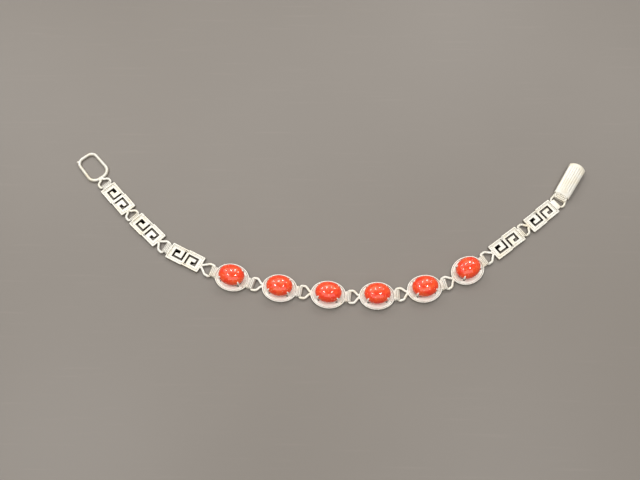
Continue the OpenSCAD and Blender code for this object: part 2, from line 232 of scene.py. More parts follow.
def addBox(shape, low, high, bend=0.06, edge=0.04):
    addSlab(shape, [rectangle(low[:2], high[:2], bend)], softRows(low[2], high[2], edge))


# a round bar across the clasp, with eased ends
def addCrossBar(shape, x, z, radius, low, high, ease=0.05):
    rows = [(radius - ease, low), (radius, low + ease), (radius, high - ease), (radius - ease, high)]
    ring = circle(1, 32)
    addSkin(shape, np.array([[(x + r * a, y, z + r * b) for a, b in ring] for r, y in rows]))


# a low drop of solder, longest along x
def addDrop(shape, middle, half, dark=0.0):
    tip = 0.04  # size of its blunt ends, as a share
    grid = []
    for level in np.linspace(-1, 1, 11) * math.pi / 2:
        size = max(tip, math.cos(level))
        grid.append([(middle[0] + half[0] * math.sin(level),
                      middle[1] + half[1] * a * size,
                      middle[2] + half[2] * b * size) for a, b in circle(1, 16)])
    addSkin(shape, np.array(grid), dark=dark)


def newMesh(name, points, faces):
    mesh = bpy.data.meshes.new(name)
    mesh.from_pydata(points.tolist(), [], [tuple(face) for face in faces])
    return mesh


def addObject(name, data):
    thing = bpy.data.objects.new(name, data)
    bpy.context.scene.collection.objects.link(thing)
    return thing


# merges doubled points, turns the faces outwards and shades them smooth between sharp edges
def finishMesh(mesh):
    sharpAngle = 38
    work = bmesh.new()
    work.from_mesh(mesh)
    bmesh.ops.remove_doubles(work, verts=work.verts, dist=1e-8)
    bmesh.ops.dissolve_degenerate(work, edges=work.edges, dist=1e-9)
    bmesh.ops.recalc_face_normals(work, faces=work.faces)
    work.to_mesh(mesh)
    work.free()
    mesh.shade_smooth()
    mesh.set_sharp_from_angle(angle=math.radians(sharpAngle))


# turns a shape into a piece: placed in the frame, riding on its body, standing for its node
def makePiece(name, shape, place, material, node, body):
    points = turned(allPoints(shape), place["turn"])
    points[:, :2] += place["at"]
    mesh = newMesh(name, points * mm, shape["faces"])
    tone = mesh.attributes.new("dark", "FLOAT", "POINT")
    tone.data.foreach_set("value", np.concatenate(shape["dark"]).astype(np.float32))
    mesh.materials.append(material)
    finishMesh(mesh)
    piece = addObject(name, mesh)
    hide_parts(node)
    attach(piece, body)


def addNode(tree, kind, settings=None, **values):
    node = tree.nodes.new("ShaderNode" + kind)
    for key, value in (settings or {}).items():
        setattr(node, key, value)
    for key, value in values.items():
        node.inputs[key].default_value = value
    return node


def newMaterial(name):
    material = bpy.data.materials.new(name)
    material.use_nodes = True
    tree = material.node_tree
    shader = tree.nodes["Principled BSDF"]
    # the frame's metres as millimetres
    place = addNode(tree, "TexCoord")
    scaled = addNode(tree, "VectorMath", {"operation": "SCALE"}, Scale=1 / mm)
    tree.links.new(place.outputs["Object"], scaled.inputs[0])
    return material, tree, shader, scaled.outputs[0]


def addNoise(tree, place, scale, detail=4.0, stretch=None, distortion=0.0):
    if stretch:
        mapping = addNode(tree, "Mapping", Scale=stretch)
        tree.links.new(place, mapping.inputs["Vector"])
        place = mapping.outputs[0]
    node = addNode(tree, "TexNoise", Scale=scale, Detail=detail, Distortion=distortion)
    tree.links.new(place, node.inputs["Vector"])
    return node.outputs[0]


# spreads a value from one range to another
def addRange(tree, value, low, high, newLow=0.0, newHigh=1.0):
    node = addNode(tree, "MapRange")
    tree.links.new(value, node.inputs[0])
    for index, number in enumerate((low, high, newLow, newHigh)):
        node.inputs[index + 1].default_value = number
    return node.outputs[0]


def addMath(tree, operation, first, second):
    node = addNode(tree, "Math", {"operation": operation})
    for index, value in enumerate((first, second)):
        if isinstance(value, (int, float)):
            node.inputs[index].default_value = value
        else:
            tree.links.new(value, node.inputs[index])
    return node.outputs[0]


def addMix(tree, share, first, second):
    node = addNode(tree, "Mix", {"data_type": "RGBA"})
    tree.links.new(share, node.inputs[0])
    for index, colour in ((6, first), (7, second)):
        if isinstance(colour, tuple):
            node.inputs[index].default_value = (*colour, 1)
        else:
            tree.links.new(colour, node.inputs[index])
    return node.outputs[2]


def addBump(tree, height, distance, strength, under=None):
    node = addNode(tree, "Bump", Distance=distance * mm, Strength=strength)
    tree.links.new(height, node.inputs["Height"])
    if under:
        tree.links.new(under, node.inputs["Normal"])
    return node.outputs[0]


# values that are the same all over a surface
def setSurface(shader, values):
    for key, value in values.items():
        shader.inputs[key].default_value = value


silverLook = {
    "metal": (0.81, 0.775, 0.69),
    "tarnish": (0.79, 0.70, 0.52),  # the yellowish tone of the worn places
    "patinaAndShade": (0.075, 0.06, 0.045),  # patina and painted shade, where the darkness is one
    "paintedLight": (1.0, 0.99, 0.90),  # painted light, where the darkness is below zero
    "satin": 0.4,  # roughness of the clean metal
    "haze": 0.15,  # added where it is worn
    "darkHaze": 0.25,  # added where the patina and painted shade are
    "shine": 0.45,  # how far it reflects as a metal
    "paintedLightShine": 0.12,  # the same where light is painted on
    "wornScale": 0.3,
    "grainScale": 4.0,
    "scratchStretch": (1.3, 9.0, 9.0),
}


def silverMaterial():
    look = silverLook
    material, tree, shader, place = newMaterial("warmSilver")
    cloud = addRange(tree, addNoise(tree, place, look["wornScale"], 3.0), 0.45, 0.8)
    grain = addNoise(tree, place, look["grainScale"], 5.0)
    scratch = addNoise(tree, place, 1.0, 6.0, look["scratchStretch"], 0.6)
    dark = addNode(tree, "Attribute", {"attribute_name": "dark"}).outputs["Fac"]
    worn = addMix(tree, cloud, look["metal"], look["tarnish"])
    # where the darkness is above zero: patina in hollows, and painted shade on undersides, lower walls and
    # pierced walls
    patinaAndShade = addMath(tree, "MULTIPLY", dark, addRange(tree, grain, 0.25, 0.6, 0.8, 1.0))
    body = addMix(tree, patinaAndShade, worn, look["patinaAndShade"])
    # painted light: where the darkness is below zero, polish paints the metal lighter and less metallic
    polish = addMath(tree, "MULTIPLY", dark, -1.0)
    tree.links.new(addMix(tree, polish, body, look["paintedLight"]), shader.inputs["Base Color"])
    haze = addRange(tree, grain, 0.3, 0.7, look["satin"], look["satin"] + look["haze"])
    onlyPatinaAndShade = addMath(tree, "MAXIMUM", patinaAndShade, 0.0)
    rough = addMath(tree, "ADD", haze, addMath(tree, "MULTIPLY", onlyPatinaAndShade, look["darkHaze"]))
    tree.links.new(rough, shader.inputs["Roughness"])
    skin = addBump(tree, scratch, 0.02, 0.35)
    skin = addBump(tree, grain, 0.012, 0.4, skin)
    tree.links.new(skin, shader.inputs["Normal"])
    shine = addRange(tree, polish, 0.0, 0.8, look["shine"], look["paintedLightShine"])
    tree.links.new(shine, shader.inputs["Metallic"])
    return material


coralLook = {
    "bright": (1.0, 0.105, 0.02),
    "deep": (0.95, 0.036, 0.008),
    "vein": (1.0, 0.24, 0.10),
    "veinShare": 0.55,  # how strongly the veins show
    "poreScale": 2.4,
    "poreShare": 0.45,
    "speck": (1.0, 0.40, 0.24),
    "speckScale": 1.15,
    "speckShare": 0.7,
    "polish": 0.28,  # roughness under the polish
    "surface": {
        "Subsurface Weight": 0.12,
        "Subsurface Radius": (1.0, 0.35, 0.2),
        "Subsurface Scale": 1.2 * mm,
        "Specular IOR Level": 0.1,
        "Coat Weight": 1.0,
        "Coat IOR": 1.65,
        "Coat Roughness": 0.06,
    },
}


def coralMaterial():
    look = coralLook
    material, tree, shader, place = newMaterial("polishedCoral")
    cloud = addRange(tree, addNoise(tree, place, 0.45, 4.0, None, 0.8), 0.35, 0.65)
    body = addMix(tree, cloud, look["deep"], look["bright"])
    streak = addNoise(tree, place, 0.9, 6.0, (1, 1.6, 1), 1.6)
    body = addMix(tree, addRange(tree, streak, 0.56, 0.74, 0.0, look["veinShare"]), body, look["vein"])
    pore = addNode(tree, "TexVoronoi", Scale=look["poreScale"])
    tree.links.new(place, pore.inputs["Vector"])
    spot = addRange(tree, pore.outputs["Distance"], 0.0, 0.16, look["poreShare"], 0.0)
    body = addMix(tree, spot, body, look["deep"])
    fleck = addNode(tree, "TexVoronoi", Scale=look["speckScale"])
    tree.links.new(place, fleck.inputs["Vector"])
    pale = addRange(tree, fleck.outputs["Distance"], 0.08, 0.26, look["speckShare"], 0.0)
    tree.links.new(addMix(tree, pale, body, look["speck"]), shader.inputs["Base Color"])
    grain = addNoise(tree, place, 5.0, 4.0)
    rough = addRange(tree, grain, 0.3, 0.7, look["polish"], look["polish"] + 0.1)
    tree.links.new(rough, shader.inputs["Roughness"])
    skin = addBump(tree, addNoise(tree, place, 0.8, 3.0), 0.05, 0.25)
    tree.links.new(addBump(tree, spot, 0.02, 0.3, skin), shader.inputs["Normal"])
    setSurface(shader, look["surface"])
    return material


silver = silverMaterial()
coral = coralMaterial()
print("materials made")


# wire eyes and hinge tabs, shared by the links
wires = {
    "wide": 0.82,  # the wire is a little flattened
    "thick": 0.62,
    "eyeWidth": 3.83,  # between the middles of its wires
    "bend": 0.55,
    "shoulder": 1.62,  # from the bar to where the arms turn in
    "shoulderBend": 1.0,
    "armGap": 0.9,
    "neck": 0.35,  # length of the arms where they run side by side
    "neckBend": 0.6,
    "root": 0.25,  # how far the arms run in under the piece
    "height": 0.65,  # of every joint above the table
    "underShade": 1.0,  # painted shade on the wires' lower halves
    "solder": (0.35, 0.3, 0.27),  # half sizes of the drop between the arms
    "solderAt": (0.1, 0.02),  # back from the arms' ends, and up
    "solderDark": 0.15,
    "solidRadius": 0.275,  # of the wires in the frame
}
tabs = {
    "strip": 0.18,
    "slot": 0.65,  # room for the bar, up and down
    "spare": 0.05,  # added to each tab's length in the frame
    "lastSpare": -0.15,  # the same for the tab that holds the clasp's bail
    "ribPitch": 0.5,
    "ribHeight": 0.08,
    "ribDark": 0.6,
}


def flatWire(wide, thick, sides):
    return circle(0.5, sides) * (wide, thick)


# a wire eye on the side (-1 left, 1 right) of an edge at x = edge
def addEye(shape, edge, reach, side):
    half, gap = wires["eyeWidth"] / 2, wires["armGap"] / 2
    neck, root = reach - wires["neck"], reach + wires["root"]
    bend, shoulder = wires["bend"], wires["shoulder"]
    neckBend, shoulderBend = wires["neckBend"], wires["shoulderBend"]
    path = roundedPath([
        (0, half, bend), (0, -half, bend), (shoulder, -half, shoulderBend), (neck, -gap, neckBend),
        (root, -gap, 0.1), (root, gap, 0.1), (neck, gap, neckBend), (shoulder, half, shoulderBend),
    ], 8)
    part = newShape()
    wire = flatWire(wires["wide"], wires["thick"], 14)
    # the wires' lower halves get painted shade
    shade = np.where(wire[:, 1] < 0, wires["underShade"], 0)
    addSkin(part, sweep(path, wire), loopRows=True, dark=np.tile(shade, len(path)))
    back, up = wires["solderAt"]
    addDrop(part, (reach - back, 0, up), wires["solder"], wires["solderDark"])
    points = allPoints(part)
    points[:, 0] = side * (edge + reach - points[:, 0])
    points[:, 2] += wires["height"]
    addShape(shape, part, points)


# a folded strip round a bar; overlap is how far its top and bottom run in under the piece
def addTab(shape, edge, length, width, side, overlap, ribs):
    strip, slot = tabs["strip"], tabs["slot"]
    middle = (slot + strip) / 2
    turn = length - middle - strip / 2
    bend = np.linspace(0.5, -0.5, 13)[1:-1] * math.pi
    path = [(x, middle) for x in np.linspace(-overlap[0], turn, 26)]
    path += [(turn + middle * math.cos(a), middle * math.sin(a)) for a in bend]
    path += [(x, -middle) for x in np.linspace(turn, -overlap[1], 5)]
    sections, darks = [], []
    for x, z in path:
        ribbed = ribs and z > 0
        wave = math.sin(max(0, x) / tabs["ribPitch"] * math.pi) ** 2 if ribbed else 0
        section = barSection(strip / 2, width / 2, 0.05)
        section[:, 0] -= np.where(section[:, 0] < 0, tabs["ribHeight"] * wave, 0)
        sections.append(section)
        dark = tabs["ribDark"] * (1 - wave) if ribbed and x > 0 else 0.0
        darks.append(np.full(len(section), dark))
    grid = upright(sweep(np.array(path), sections, closed=False))
    grid[..., 0] = side * (edge + grid[..., 0])
    grid[..., 2] += wires["height"]
    addSkin(shape, grid, dark=np.array(darks))


# how far a link reaches past its edge to the middle of its eye's bar, or to its tab's end
def reachOf(points, edge, side, thickness=0.0):
    return (side * points[:, 0]).max() - edge - thickness


# a node's turn alone; its middle is found once it is seen square
def squarePlace(node):
    return {"at": np.zeros(2), "turn": wallWay(node, longWay(nodePoints(node)))}


endLoop = {
    "length": 10.9,
    "farWidth": 7.1,
    "nearWidth": 7.75,  # beside the eye
    "wire": 1.05,
    "farBend": 2.1,
    "nearBend": 2.7,
    "swell": 0.12,  # how uneven the cast wire is
    "swellScale": 0.9,
    "slack": 0.97,  # the wire's mean size beside the solid's
    "step": 0.3,  # longest stretch between two of its sections
    "nub": (0.62, 0.8, 0.46),  # the cast end at the far corner: radius, its share across, height
    "nubOut": 0.3,  # how far it stands off the corner
    "solder": (0.8, 1.15, 0.46),  # half sizes of the drop that holds the eye
    "solderAt": (0.35, 0.64),  # back from the edge, and up
    "solderDark": 0.05,
}


# a closed path with more points along its straight parts
def densePath(path, longest):
    dense = []
    for here, after in zip(path, np.roll(path, -1, axis=0)):
        steps = max(1, int(np.linalg.norm(after - here) / longest))
        dense += [here + (after - here) * step / steps for step in range(steps)]
    return np.array(dense)


def addLoopWire(shape, edge):
    wire, scale = endLoop["wire"], endLoop["swellScale"]
    x = edge - wire / 2
    farY, nearY = (endLoop["farWidth"] - wire) / 2, (endLoop["nearWidth"] - wire) / 2
    far, near = endLoop["farBend"], endLoop["nearBend"]
    path = roundedPath([(-x, farY, far), (-x, -farY, far), (x, -nearY, near), (x, nearY, near)], 12)
    path = densePath(path, endLoop["step"])
    swell = [1 + endLoop["swell"] * noise.noise((px * scale, py * scale, 4.0)) for px, py in path]
    grid = sweep(path, [circle(wire / 2 * endLoop["slack"] * share, 20) for share in swell])
    grid[..., 2] += wire / 2
    addSkin(shape, grid, loopRows=True)
    inwards = 0.29  # from a square corner to the round one, as a share of its radius
    corner = np.array((-x, -farY)) + inwards * far - endLoop["nubOut"]
    radius, share, height = endLoop["nub"]
    addDrop(shape, (*corner, wire / 2), (radius, radius * share, height))


def makeEndLoop():
    node, edge = "end_loop", endLoop["length"] / 2
    place = squarePlace(node)
    seen = seenFrom(place, node)
    left, right = seen[:, 0].min(), seen[:, 0].max()
    ring = seen[abs(seen[:, 0] - left) < endLoop["length"] * 0.8]
    bar = seen[seen[:, 0] > right - 0.1]
    middleY = (ring[:, 1].min() + ring[:, 1].max()) / 2
    eyeY = (bar[:, 1].min() + bar[:, 1].max()) / 2 - middleY
    place["at"] = turned(np.array((left + edge, middleY)), place["turn"])
    shape, eye = newShape(), newShape()
    addLoopWire(shape, edge)
    addEye(eye, edge, reachOf(seenFrom(place, node), edge, 1, wires["solidRadius"]), 1)
    back, up = endLoop["solderAt"]
    addDrop(eye, (edge - back, 0, up), endLoop["solder"], endLoop["solderDark"])
    addShape(shape, eye, allPoints(eye) + (0, eyeY, 0))
    makePiece("end_loop_wire", shape, place, silver, node, "bracelet")


makeEndLoop()
print("end loop made")


plate = {
    "length": 11.4,
    "width": 5.5,
    "body": 0.85,
    "border": 1.05,  # height of the raised border
    "borderWidth": 0.4,
    "borderDark": 0.7,  # of its inner wall
    "step": 0.24,  # between the plate's two halves
    "tabWidth": 3.1,
    "lastTabWidth": 3.3,  # of the tab that holds the clasp's bail
    "bead": 0.22,  # width of the raised line inside the border
    "beadGap": 0.3,  # between the border and the raised line
    "slot": 0.64,  # width of the pierced lines at the top
    "slotTaper": 0.13,  # how far each side of a pierced line leans in towards the bottom
    "key": {"left": 0.42, "right": 4.15, "top": 1.5, "foot": -2.05},  # sides of the pierced line
    "curl": {"left": 2.3, "top": -0.2, "foot": -1.2},  # sides of the curl that it ends in
}


def keyHole():
    key, curl, wide = plate["key"], plate["curl"], plate["slot"]
    left, right, top, foot = (key[side] for side in ("left", "right", "top", "foot"))
    inX, inY, innerRight = left + wide, top - wide, right - wide
    # x, y, bend; clockwise, so that the metal is on its left
    return roundedPath([
        (left, foot, 0.05), (left, top, 0.12), (right, top, 0.12), (right, curl["foot"], 0.06),
        (curl["left"], curl["foot"], 0.06), (curl["left"], curl["top"], 0.05),
        (innerRight, curl["top"], 0.35), (innerRight, inY, 0.06), (inX, inY, 0.06), (inX, foot, 0.05),
    ], 4)


def plateOutline(inset):
    x, y, s = plate["length"] / 2 - inset, plate["width"] / 2 - inset, plate["step"]
    bend, jog = max(0.06, 0.3 - inset), s / 4
    return roundedPath([
        (-x, -y, bend), (-jog, -y, 0.04), (jog, -y + s, 0.04), (x, -y + s, bend),
        (x, y, bend), (jog, y, 0.04), (-jog, y - s, 0.04), (-x, y - s, bend),
    ], 4)


# a fine raised line along a closed path, dark in the corners beside it
def addBead(shape, path, height):
    half, sunk = plate["bead"] / 2, -0.05
    arc = np.linspace(0, math.pi, 6)
    rise = (plate["border"] - plate["body"]) / 2
    section = [(-half, sunk), *[(-half * math.cos(a), rise * math.sin(a)) for a in arc], (half, sunk)]
    grid = sweep(path, section)
    grid[..., 2] += height
    tones = [0.6, 0.6, 0.2, 0, 0, 0.2, 0.6, 0.6]
    addSkin(shape, grid, loopRows=True, dark=np.tile(tones, len(grid)))


# the rows below are inset, height and darkness
def addPlate(shape):
    hole = keyHole()
    body, lean, top = plate["body"], plate["slotTaper"], plate["border"]
    # the pierced lines' walls are dark: patina, and painted shade where the slots fall into shadow
    holeRows = [(-lean, 0, 0), (-lean, 0.05, 1), (-lean, 0.25, 1)]
    holeRows += [(-0.03, body - 0.2, 1), (0, body - 0.05, 0.9), (0.03, body, 0)]
    # the outer walls' lower halves are darkened as a painted contact shadow
    wallRows = [(0.05, 0, 1), (0, 0.05, 1), (0, 0.4, 0.9)]
    wallRows += [(0, 0.55, 0.1), (0, body - 0.05, 0), (0.05, body, 0)]
    addSlab(shape, [plateOutline(0), hole, -hole], wallRows, holeRows)
    borderRows = [(0, 0.5), (0, top - 0.06), (0.02, top - 0.015), (0.07, top)]
    dark = plate["borderDark"]
    innerRows = [(inset, height, dark if height < top - 0.02 else 0) for inset, height in borderRows]
    inner = plateOutline(plate["borderWidth"])[::-1]
    addSlab(shape, [plateOutline(0), inner], borderRows, innerRows)
    addBead(shape, plateOutline(plate["borderWidth"] + plate["beadGap"]), body)


def makePlate(number, eyeSide, lastPlate):
    node = f"key_plate_{number}"
    place = squarePlace(node)
    seen = seenFrom(place, node)
    rim = seen[abs(seen[:, 2] - plate["border"]) < 0.002]  # the raised border's top
    place["at"] = turned((rim[:, :2].min(0) + rim[:, :2].max(0)) / 2, place["turn"])
    seen = seenFrom(place, node)
    edge = plate["length"] / 2
    shape = newShape()
    addPlate(shape)
    addEye(shape, edge, reachOf(seen, edge, eyeSide, wires["solidRadius"]), eyeSide)
    width = plate["lastTabWidth"] if lastPlate else plate["tabWidth"]
    spare = tabs["lastSpare"] if lastPlate else tabs["spare"]
    length = reachOf(seen, edge, -eyeSide) + spare
    addTab(shape, edge, length, width, -eyeSide, (0.3, 0.1), not lastPlate)
    makePiece(f"{node}_silver", shape, place, silver, node, "bracelet")
    print(node, "at", np.round(place["at"], 3), "turned", round(math.degrees(place["turn"]), 2))


for number in range(1, 6):
    makePlate(number, 1 if number <= 3 else -1, number == 5)
print("key plates made")


setting = {
    "length": 10.8,
    "width": 8.7,
    "rim": 1.0,
    "land": 0.8,  # height of the part inside the rim
    "dish": 0.12,  # how far that part falls towards the stone
    "floor": 0.42,
    "lip": 0.3,  # width of the rim
    "landEnd": 1.85,  # from the outline to the land's inner edge
    "grain": 0.13,  # radius of the beads at its two ends
    "grainRows": (0.58, 0.9, 1.22, 1.54),  # from the outline
    "grainPitch": 2.6,  # between two beads, in radii
    "grainSpread": 0.45,  # how far round from each end they go, in radians
    "grainDark": (0.8, 0.4, 0, 0),  # from a bead's foot up
    "prongWidth": 0.58,
    "prongThickness": 0.3,
    "prongAngle": 35,  # between the tray's length and a prong, in degrees
    "prongTop": 3.8,
    "prongTaper": 0.18,  # how much narrower it is at its tip, as a share
    "prongGap": 0.03,  # between a prong and the stone
    # painted light on the prongs, as darkness below zero
    "prongLight": -0.8,
    "window": (0.6, 0.66),  # along and across a prong's direction
    "windowGap": 0.09,  # between a prong's foot and its window
    "tabWidth": 3.2,
}
stone = {
    "length": 8.0,
    "width": 6.5,
    "low": 0.6,
    "girdle": 2.7,
    "top": 5.1,
    "base": 0.72,  # size of the flat base beside the girdle
    "shift": 0.2,  # how far it sits from the tray's middle
}


# the stone's size at a height, as a share of its size at the girdle
def stoneShare(height):
    if height < stone["girdle"]:
        rise = (height - stone["low"]) / (stone["girdle"] - stone["low"])
        return stone["base"] + (1 - stone["base"]) * math.sin(math.pi / 2 * rise)
    return math.sqrt(max(0, 1 - ((height - stone["girdle"]) / (stone["top"] - stone["girdle"])) ** 2))


def ovalRings(rows, sides):
    around = np.arange(sides) * 2 * math.pi / sides
    ring = np.stack([np.cos(around), np.sin(around)], 1)
    return np.array([[(a * x, b * y, z) for x, y in ring] for a, b, z in rows])


def makeStone(number, place):
    low, girdle, top = stone["low"], stone["girdle"], stone["top"]
    sides, dome = 10, 30  # steps up to the girdle and from there to the top
    summit = 89.2  # degrees up the dome, where its small flat top is
    levels = [low + 0.02 * step for step in (0, 1, 3)]
    levels += [low + (girdle - low) * k / sides for k in range(1, sides)]
    levels += [girdle + (top - girdle) * math.sin(math.radians(summit * k / dome)) for k in range(dome + 1)]
    rows = []
    for index, z in enumerate(levels):
        share = stoneShare(z) * (0.975 if index == 0 else 1)  # the base's edge is eased
        rows.append((stone["length"] / 2 * share, stone["width"] / 2 * share, z))
    shape = newShape()
    addSkin(shape, ovalRings(rows, 96) + (0, stone["shift"], 0))
    node = f"coral_{number}"
    makePiece(f"{node}_stone", shape, place, coral, node, "bracelet")


# height of the dished land at a distance from the outline
def landAt(inset):
    share = (inset - setting["lip"]) / (setting["landEnd"] - setting["lip"])
    return setting["land"] + setting["dish"] * (0.35 - share)


# the tray's section from under its middle round to its floor: inset, height and darkness
def trayRows():
    rim, lip, end, floor = (setting[key] for key in ("rim", "lip", "landEnd", "floor"))
    groove = landAt(lip) - 0.06
    # the underside's darkness is a painted shadow under the tray
    rows = [(0.8, 0, 0.9), (0.74, 0.02, 0.9), (0.4, 0.27, 0.8), (0.04, 0.53, 0.5), (0, 0.58, 0.2)]
    # darkness below zero on the rim's top is a painted highlight
    rows += [(0, rim - 0.1, 0), (0.015, rim - 0.045, -0.4), (0.05, rim - 0.012, -0.7), (0.1, rim, -0.7)]
    rows += [(lip - 0.1, rim, -0.7), (lip - 0.03, rim - 0.02, -0.3), (lip, rim - 0.07, 0.2)]
    # the groove inside the rim is darkened as a painted shade line
    rows += [(lip + 0.03, groove, 0.45), (lip + 0.13, groove, 0.35)]
    # darkness below zero paints the land lighter against the stone's shade: painted light
    rows += [(inset, landAt(inset), -0.9) for inset in (lip + 0.23, lip + 0.5, end - 0.5, end - 0.05)]
    # the land's inner edge gets painted light and the floor under the stone gets painted shade
    rows += [(end, landAt(end) - 0.05, -0.2), (end + 0.05, floor + 0.03, 0.4), (end + 0.1, floor, 0.4)]
    return rows


# rows of small beads on the land at the tray's two ends
def addGrains(shape):
    radius, pitch = setting["grain"], setting["grain"] * setting["grainPitch"]
    profile = [(1, -0.3), (0.94, 0.25), (0.7, 0.6), (0.3, 0.8)]  # radius and height, in bead radii
    ring = circle(1, 8)
    for inset in setting["grainRows"]:
        a, b = setting["length"] / 2 - inset, setting["width"] / 2 - inset
        count = int(0.9 * a / pitch)
        for index in range(-count // 2, count // 2 + 1):
            angle = index * pitch / b
            if abs(math.atan2(b * math.sin(angle), a * math.cos(angle))) > setting["grainSpread"]:
                continue
            for side in (-1, 1):
                x, y = side * a * math.cos(angle), b * math.sin(angle)
                grid = [[(x + radius * r * u, y + radius * r * v, landAt(inset) + radius * h)
                         for u, v in ring] for r, h in profile]
                addSkin(shape, np.array(grid), dark=np.repeat(setting["grainDark"], len(ring)))


# from the stone's middle to its girdle, in a prong's direction
def prongReach():
    angle = math.radians(setting["prongAngle"])
    return 0.5 / math.hypot(math.cos(angle) / stone["length"], math.sin(angle) / stone["width"])


# the four mirrored directions of the prongs
prongSigns = [(1, 1), (-1, 1), (-1, -1), (1, -1)]


def aroundProngs(points):
    spun = turned(points, math.radians(setting["prongAngle"]))
    return [spun * (sx, sy, 1) for sx, sy in prongSigns]


# the tray with its windows cut through beside the prongs' feet
def trayMesh():
    section = trayRows()
    rows = [(setting["length"] / 2 - inset, setting["width"] / 2 - inset, z) for inset, z, dark in section]
    shape, window, cutter = newShape(), newShape(), newShape()
    addSkin(shape, ovalRings(rows, 160))
    tray = addObject("tray", newMesh("tray", allPoints(shape), shape["faces"]))
    along, wide = setting["window"]
    start = prongReach() * stone["base"] + setting["prongThickness"] + setting["windowGap"]
    addBox(window, (start, -wide / 2, -1), (start + along, wide / 2, 3), 0.12, 0.02)
    for points in aroundProngs(allPoints(window)):
        addShape(cutter, window, points)
    knife = addObject("knife", newMesh("knife", allPoints(cutter), cutter["faces"]))
    for thing in (tray, knife):
        finishMesh(thing.data)
    cut = tray.modifiers.new("windows", "BOOLEAN")
    cut.operation, cut.object, cut.solver = "DIFFERENCE", knife, "EXACT"
    result = bpy.data.meshes.new_from_object(tray.evaluated_get(bpy.context.evaluated_depsgraph_get()))
    points = np.array([v.co for v in result.vertices])
    faces = [tuple(f.vertices) for f in result.polygons]
    for thing in (tray, knife):
        bpy.data.objects.remove(thing)
    # each point's darkness, from the row that it lies on
    around = np.hypot(points[:, 0] / setting["length"], points[:, 1] / setting["width"]) * 2
    insets = (1 - around) * setting["width"] / 2
    dark = []
    for z, inset in zip(points[:, 2], insets):
        dark.append(min(section, key=lambda row: abs(row[1] - z) + 0.2 * abs(row[0] - inset))[2])
    return points, faces, dark


# one prong: up from the floor, along the coral's side and over its edge, with a rounded tip
def prongSkin():
    reach, gap = prongReach(), setting["prongGap"]
    thick, wide = setting["prongThickness"] / 2, setting["prongWidth"] / 2
    tipStart = 0.86  # share of its length where the tip starts to round
    heights = np.concatenate([[0.1, 0.35], np.linspace(stone["low"], setting["prongTop"], 22)])
    line = np.array([(reach * stoneShare(max(z, stone["low"])) + gap + thick, z) for z in heights])
    line = np.vstack([line, line[-1] + unit(line[-1] - line[-2]) * 0.1])
    sections = []
    for share in np.linspace(0, 1, len(line)):
        tip = math.sqrt(max(0.02, 1 - max(0, (share - tipStart) / (1 - tipStart)) ** 2))
        taper = 1 - setting["prongTaper"] * share
        sections.append(barSection(thick * (0.55 + 0.45 * tip), wide * taper * tip, thick * 0.5 * tip))
    return upright(sweep(line, sections, closed=False))


trayPoints, trayFaces, trayDark = trayMesh()
prongGrid = prongSkin()
print("tray and prong made")


def makeSetting(number):
    coralNode, node = f"coral_{number}", f"setting_{number}"
    stonePlace = {"at": boxMiddle(coralNode), "turn": longWay(nodePoints(coralNode))}
    points = nodePoints(node)
    rim = points[abs(points[:, 2] - setting["rim"]) < 0.002]
    place = {"at": stonePlace["at"], "turn": longWay(rim)}
    seen = seenFrom(place, node)
    edge = setting["length"] / 2
    shape = newShape()
    addPoints(shape, trayPoints, trayFaces, trayDark)
    addGrains(shape)
    for grid in aroundProngs(prongGrid):
        # the prongs carry painted light
        addSkin(shape, grid + (0, stone["shift"], 0), dark=setting["prongLight"])
    for side in ((1, -1) if number == 1 else (1,)):  # the first has a tab at both ends
        length = reachOf(seen, edge, side) + tabs["spare"]
        addTab(shape, edge, length, setting["tabWidth"], side, (0.2, 0.6), True)
    if number > 1:
        addEye(shape, edge, reachOf(seen, edge, -1, wires["solidRadius"]), -1)
    makePiece(f"{node}_silver", shape, place, silver, node, "bracelet")
    makeStone(number, stonePlace)
    print(node, "at", np.round(place["at"], 3), "turned", round(math.degrees(place["turn"]), 2))


for number in range(1, 7):
    makeSetting(number)
print("settings and corals made")


clasp = {
    "leverStart": 3.6,  # from the bail's bar, as every place along the clasp
    "leverLength": 12.6,
    "width": 5.4,
    "taper": 0.08,  # how much narrower it is at its front, as a share
    "crown": 2.9,
    "sheet": 0.4,
    "skirt": 0.7,  # height of the skirts' lower edges
    "front": 1.1,  # height of the front edge
    "frontDrop": 0.6,  # how far the lever's front slopes down
    "frontSlope": 1.8,  # length of that slope
    "bow": 4.5,  # radius of the bowed outer end
    "bowLength": 2.2,  # where the sides start to follow it, from the end
    "longRadius": 60.0,  # of the crown, along and across
    "crossRadius": 8.0,
    "edge": 0.22,  # radius of its rounded edges
    "flutes": (-1.6, -0.8, 0.0, 0.8, 1.6),
    "fluteWidth": 0.42,
    "fluteDepth": 0.07,
    "fluteDark": 0.15,
    "fluteEnd": 1.1,  # from the flutes' ends to the lever's
    "fluteFade": 0.5,
    "insideDark": 0.3,
    "pinBack": 0.9,  # from the pin to the lever's end
    "pinHeight": 1.3,
    "knuckle": 0.52,  # radius round the pin
    "knuckleHalf": 1.5,
    "knuckleTop": 2.36,
    "notch": (2.25, 1.25, 1.75),  # back from the pin, length, height
    "neck": 2.15,
    "floor": 0.5,  # thickness
    "railOut": 2.1,
    "railStart": 4.2,
    "rail": (0.4, 1.35),  # thickness and height
    "hookGap": 1.5,  # length of the gap where the end loop hooks in
    "ear": 0.55,
    "lace": (1.15, 1.6),  # height of the scallops at the neck's edge and at the lever
    "scallop": (0.4, 0.42, 0.2),  # along, across, radius of the wire
    "scallopPitch": (0.5, 0.9),  # along and across
    "ridge": (0.55, 0.3),  # before the lever, radius
    "bailWire": 0.76,
    "bailWidth": 5.6,
    "bailBend": 1.2,
    "bailSlim": 0.7,  # size of its wire inside the tab, as a share
}
leverEnd = clasp["leverStart"] + clasp["leverLength"]
pinX = leverEnd - clasp["pinBack"]
notchStart = pinX - clasp["notch"][0]
notchEnd = notchStart + clasp["notch"][1]
